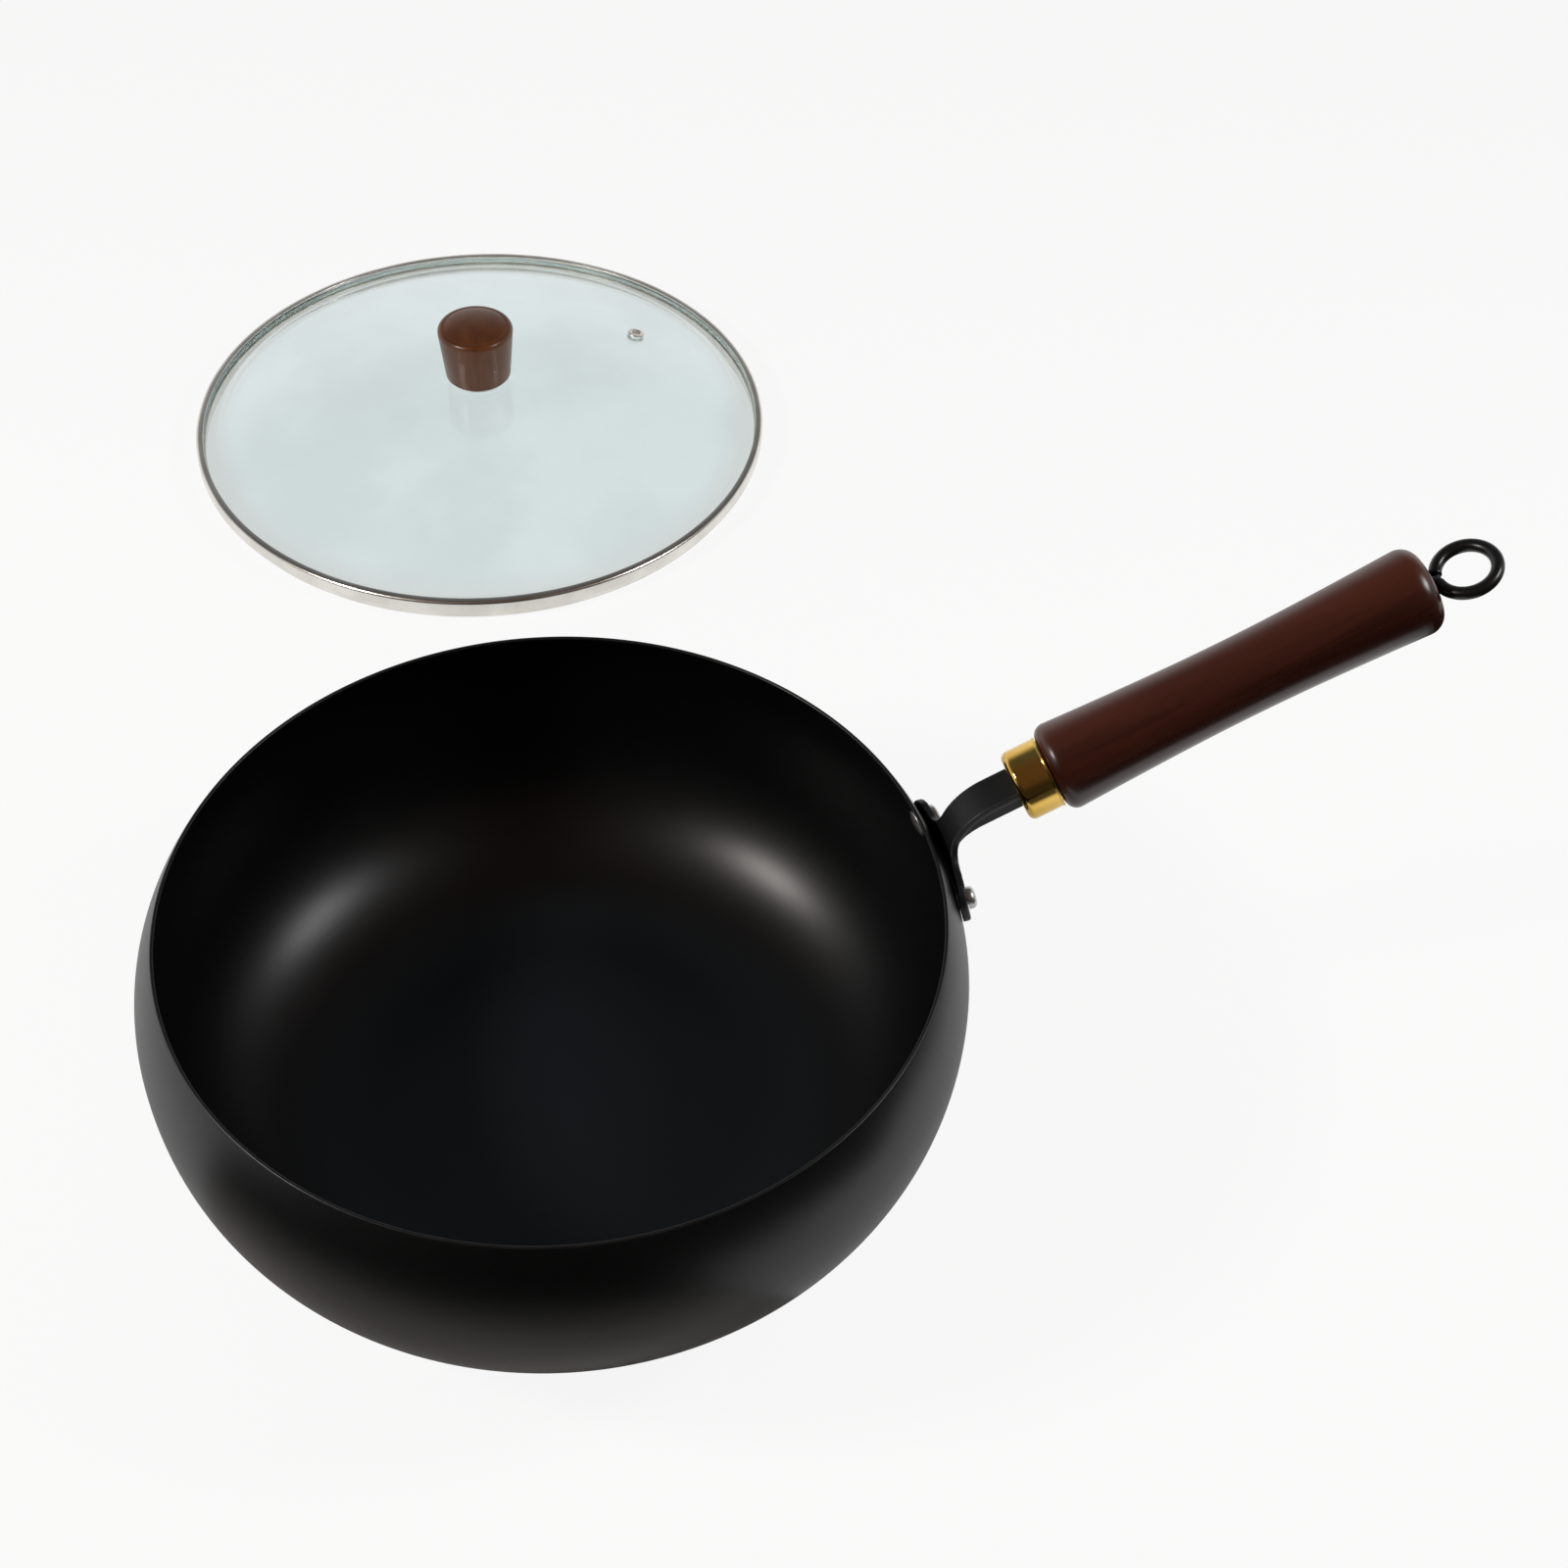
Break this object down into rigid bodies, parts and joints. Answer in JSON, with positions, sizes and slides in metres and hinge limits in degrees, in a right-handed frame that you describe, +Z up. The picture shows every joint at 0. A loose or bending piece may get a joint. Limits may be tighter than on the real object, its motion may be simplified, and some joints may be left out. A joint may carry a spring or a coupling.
{
  "type": "frying pan",
  "caption": "Deep round-bellied iron frying pan with a riveted bracket, brass ferrule, turned wooden handle and wire hanging eye, and a domed glass lid with a wooden knob.",
  "frame": {"origin": "centre of the pan's flat base, on the surface it stands on", "axes": "+Z up, +X from the pan's centre along the handle, +Y to the side where the lid lies"},
  "size_m": [0.534, 0.7529, 0.2213],
  "materials": {
    "iron": "satin black, seasoned",
    "black_enamel": "satin black",
    "rivet_metal": "satin, pressed",
    "brass": "polished",
    "steel": "plain, turned",
    "polished_steel": "polished",
    "grip_wood": "dark stained, satin lacquer",
    "knob_wood": "red-brown stained, gloss lacquer",
    "glass": "clear, polished",
    "silicone": "matte, translucent white"
  },
  "bodies": {
    "pan": {"pan_body": "iron", "handle_bracket": "black_enamel", "rivet_left": "rivet_metal", "rivet_right": "rivet_metal", "ferrule": "brass", "stem_nut": "steel", "handle_grip": "grip_wood", "hanging_eye": "black_enamel"},
    "lid": {"lid_glass": "glass", "lid_band": "polished_steel", "edge_gasket": "silicone", "lid_knob": "knob_wood", "knob_insert": "brass", "knob_seat": "silicone", "screw_gasket": "silicone", "screw_washer": "steel", "knob_screw": "steel", "vent_eyelet": "polished_steel"}
  },
  "joints": [
    {"name": "lid_lift", "type": "slide", "parent": "pan", "child": "lid", "axis": [0, 0, 1], "range_m": [0, 0.24]}
  ]
}
